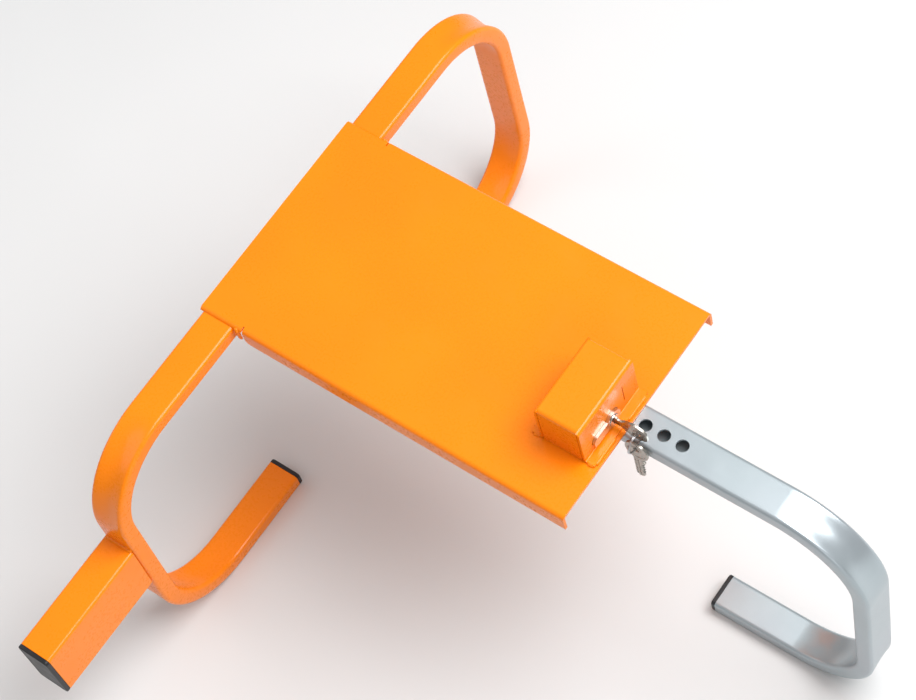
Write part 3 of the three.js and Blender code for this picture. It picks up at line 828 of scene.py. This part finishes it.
# The spare key hangs on the ring's wire at SPARE_Y, with a gap between the wire and the top of its hole.
RING_CENTRE = RING_HOLE - RING_RADIUS * Vector((0, math.sin(RING_LEAN), math.cos(RING_LEAN)))
WIRE_Z = RING_CENTRE.z - math.sqrt(RING_RADIUS ** 2 - (RING_CENTRE.y - SPARE_Y) ** 2)
SPARE_HOLE = (RING_HOLE.x, SPARE_Y, WIRE_Z + RING_WIRE + GAP - KEY_HOLE)
key("hanging_key", SPARE_HOLE, HANGING, "spare", "spare_key")


# ---------- split ring ----------
WIRE_HALF_WIDTH, WIRE_HALF_DEPTH, TURN_SHIFT = 0.38, 0.62, 0.41
RING_STEPS, RING_START, RING_GAP = 160, 2.2, math.radians(16)
RAMP_LEAD, RAMP = math.radians(22), math.radians(36)


def split_ring():
    """Two turns of flattened wire side by side, crossing over at one place."""
    bm = bmesh.new()
    section = 12
    total = 4 * math.pi - RING_GAP
    rings = []
    for i in range(RING_STEPS + 1):
        angle = total * i / RING_STEPS
        # The wire steps across from one turn to the other in a short ramp half way round.
        t = min(1.0, max(0.0, (angle - 2 * math.pi + RAMP_LEAD) / RAMP))
        shift = -TURN_SHIFT + 2 * TURN_SHIFT * (t * t * (3 - 2 * t))
        out = Vector((0, math.cos(angle + RING_START), math.sin(angle + RING_START)))
        centre = RING_CENTRE + RING_RADIUS * out + Vector((shift, 0, 0))
        ring = []
        for j in range(section):
            a = 2 * math.pi * j / section
            across = Vector((WIRE_HALF_WIDTH * math.cos(a), 0, 0))
            ring.append(bm.verts.new(centre + across + out * WIRE_HALF_DEPTH * math.sin(a)))
        rings.append(ring)
    for low, high in zip(rings, rings[1:]):
        bridge(bm, low, high)
    bm.faces.new(rings[0])
    bm.faces.new(rings[-1])
    return smooth(new_object("split_ring_wire", bm), 50)


finish(split_ring(), "ring", STEEL, "split_ring")


# ---------- screw under the plate ----------
def cylinder_screw():
    """A socket-head screw whose head is under the plate and whose shank reaches into the cylinder."""
    centre = (BOLT_X, SCREW_Y)
    head_top = -SHEET - GAP
    obj = rod("cylinder_screw_head", "z", centre, SCREW_HEAD, head_top - 3.5, head_top, 48)
    round_edges(obj, 0.5, 4, 45)
    boolean(obj, rod("tool", "z", centre, SCREW_SHANK, -4, 14, 32), "UNION")
    boolean(obj, rod("tool", "z", centre, SCREW_SOCKET, -8, -4.1, 6))
    return smooth(obj, 40)


finish(cylinder_screw(), "frame", STEEL, "cylinder_screw")


# ---------- hidden lock parts keep their CAD shape ----------
for node in ("lock_cam", "lock_bolt", "bolt_guide", "bolt_spring"):
    NODES[node].data.materials.clear()
    NODES[node].data.materials.append(STEEL)
    smooth(NODES[node], 40)


# ---------- welds ----------
WELD_STEP, RIPPLE, WELD_SECTION = 0.55, 2.3, 12


def weld_size(s, total, radius, seed):
    """The bead's size at a distance s along it: rippled, slightly uneven, and rounded off at both ends."""
    wobble = math.sin(s * 0.31 + seed)
    wobble = wobble + 0.6 * math.sin(s * 0.83 + 2.1 * seed) + 0.4 * math.sin(s * 1.71 + seed)
    ripple = abs(math.sin(math.pi * s / RIPPLE + 0.3 * wobble))
    size = radius * (0.86 + 0.14 * ripple + 0.07 * wobble)
    ends = min(s, total - s) / (1.4 * radius)
    return size * math.sqrt(max(0.03, 1 - (1 - min(1.0, ends)) ** 2))


def weld(name, path, radius, lift, seed):
    """A painted weld bead along a path of points, with its crown towards lift."""
    points = [Vector(p) for p in path]
    lengths = [0.0]
    for a, b in zip(points, points[1:]):
        lengths.append(lengths[-1] + (b - a).length)
    total = lengths[-1]
    count = max(6, int(total / WELD_STEP))
    lift = Vector(lift).normalized()
    bm = bmesh.new()
    rings = []
    segment = 0
    for i in range(count + 1):
        s = total * i / count
        while segment < len(points) - 2 and lengths[segment + 1] < s:
            segment += 1
        a, b = points[segment], points[segment + 1]
        direction = (b - a).normalized()
        centre = a + direction * (s - lengths[segment])
        side = direction.cross(lift).normalized()
        size = weld_size(s, total, radius, seed)
        ring = []
        for j in range(WELD_SECTION):
            turn = 2 * math.pi * j / WELD_SECTION
            across = side * size * 1.05 * math.cos(turn)
            ring.append(bm.verts.new(centre + across + lift * size * 0.8 * math.sin(turn)))
        rings.append(ring)
    for low, high in zip(rings, rings[1:]):
        bridge(bm, low, high)
    bm.faces.new(rings[0])
    bm.faces.new(rings[-1])
    obj = new_object(name, bm)
    for polygon in obj.data.polygons:
        polygon.use_smooth = True
    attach(obj, "frame")
    obj.data.materials.append(ORANGE)


def weld_housing():
    """Stitches along the housing's feet: (name, start, end, z, radius, lift)."""
    front = FOOT_FRONT - 0.2
    near, far = HOUSING_Y0 - 0.1, HOUSING_Y1 + 0.1
    corner0, corner1 = HOUSING_X1 + 1.5, FOOT_FRONT - 0.5
    stitches = (
        ("weld_foot_front", (front, 48), (front, 74), 0.9, 1.6, (0.5, 0, 1)),
        ("weld_foot_front_far", (front, 90), (front, 114), 0.9, 1.6, (0.5, 0, 1)),
        ("weld_foot_corner", (corner0, near), (corner1, near), 0.8, 1.4, (0, -0.5, 1)),
        ("weld_foot_corner_far", (corner0, far), (corner1, far), 0.8, 1.4, (0, 0.5, 1)),
        ("weld_foot_rear", (FOOT_BACK, 50), (FOOT_BACK, 56), 0.8, 1.6, (-0.5, 0, 1)),
        ("weld_foot_rear_far", (FOOT_BACK, 104), (FOOT_BACK, 112), 0.8, 1.6, (-0.5, 0, 1)),
        ("weld_foot_rear_end", (FOOT_BACK + 1.5, near), (HOUSING_X0 - 1, near), 0.8, 1.5, (0, -0.5, 1)),
    )
    for seed, (name, start, end, z, radius, lift) in enumerate(stitches, 1):
        weld(name, [(*start, z), (*end, z)], radius, lift, seed)


def weld_claw():
    """The claw tube's welds: one where each flange starts, and two along its flank under the sheet."""
    flank = CLAW_X + WIDTH / 2 + 0.6
    for side, end, y in ((-1, "lower", 1.0), (1, "upper", SPAN - 1.0)):
        notch = [(34.6, y + side * 0.2, -0.9), (35.8, y + side * 0.7, -4.5)]
        notch += [(36.3, y + side * 0.8, -9.5), (36.8, y + side * 0.5, -16.0)]
        weld(f"weld_claw_notch_{end}", notch, 2.1, (0, side, 0.2), 8 + side)
        middle = SPAN / 2
        path = [(flank, middle + side * 78, -3.4), (flank, middle + side * 30, -3.4)]
        weld(f"weld_claw_flank_{end}", path, 1.7, (0.6, 0, -1), 11 + side)


def weld_stub():
    """The stub's foot is welded along its top and its bottom."""
    x0, x1, y = STUB_X0 + 1.5, STUB_X1 - 1.5, STUB_FOOT - 0.1
    for name, z, up, seed in (("top", STUB_TOP + 0.4, 1, 13), ("bottom", STUB_BOTTOM - 0.4, -1, 14)):
        weld(f"weld_stub_{name}", [(x0, y, z), (x1, y, z)], 1.8, (0, -1, up), seed)


def weld_guide():
    """Short stitches hold the arm's guide under the plate; the last ones are shorter."""
    for i, (x, length) in enumerate(((130, 18), (200, 18), (262, 18), (316, 13))):
        for side, name, edge in ((-1, "front", GUIDE_Y0), (1, "rear", GUIDE_Y1)):
            y = edge + side * 0.2
            path = [(x, y, -3.3), (x + length, y, -3.3)]
            weld(f"weld_guide_{i}_{name}", path, 1.5, (0, side, -1), 20 + i * 2 + side)


weld_housing()
weld_claw()
weld_stub()
weld_guide()


# ---------- light and floor ----------
FLOOR_HALF_SIZE, FLOOR_DROP = 12, 0.0003
HORIZON, ZENITH, ZENITH_FROM, WORLD_STRENGTH = (0.50, 0.51, 0.52, 1), (1, 1, 1, 1), 0.75, 0.5


def add_floor():
    """A pale floor just under the feet, so that the two never share a plane."""
    bm = bmesh.new()
    bmesh.ops.create_grid(bm, x_segments=2, y_segments=2, size=FLOOR_HALF_SIZE)
    mesh = bpy.data.meshes.new("floor")
    bm.to_mesh(mesh)
    bm.free()
    floor = bpy.data.objects.new("floor", mesh)
    bpy.context.scene.collection.objects.link(floor)
    mesh.materials.append(floor_material())
    floor.location.z = -FLOOR_DROP


def area(name, place, target, size, power):
    """A rectangular lamp at place, turned towards target, in metres and watts."""
    data = bpy.data.lights.new(name, "AREA")
    data.shape = "RECTANGLE"
    data.size, data.size_y = size
    data.energy = power
    light = bpy.data.objects.new(name, data)
    light.location = place
    light.rotation_euler = (Vector(target) - Vector(place)).to_track_quat("-Z", "Y").to_euler()
    bpy.context.scene.collection.objects.link(light)


def add_world():
    """Plain studio surroundings, grey at the horizon and white overhead."""
    world = bpy.data.worlds.new("studio")
    bpy.context.scene.world = world
    world.use_nodes = True
    tree = world.node_tree
    background = tree.nodes["Background"]
    place = tree.nodes.new("ShaderNodeTexCoord")
    split = tree.nodes.new("ShaderNodeSeparateXYZ")
    ramp = tree.nodes.new("ShaderNodeValToRGB")
    tree.links.new(place.outputs["Generated"], split.inputs[0])
    tree.links.new(split.outputs["Z"], ramp.inputs[0])
    tree.links.new(ramp.outputs["Color"], background.inputs["Color"])
    low, high = ramp.color_ramp.elements
    low.color, high.color = HORIZON, ZENITH
    low.position, high.position = 0.0, ZENITH_FROM
    background.inputs["Strength"].default_value = WORLD_STRENGTH


add_floor()
add_world()
area("overhead", (0.85, 0.75, 2.35), (0, 0, 0.2), (1.8, 1.8), 84)
area("left", (-1.9, -0.9, 1.4), (0, 0, 0.15), (1.2, 1.6), 7)
area("right", (1.7, -1.3, 0.9), (0, 0, 0.15), (0.8, 1.4), 5)

bpy.context.scene.view_settings.view_transform = "Standard"
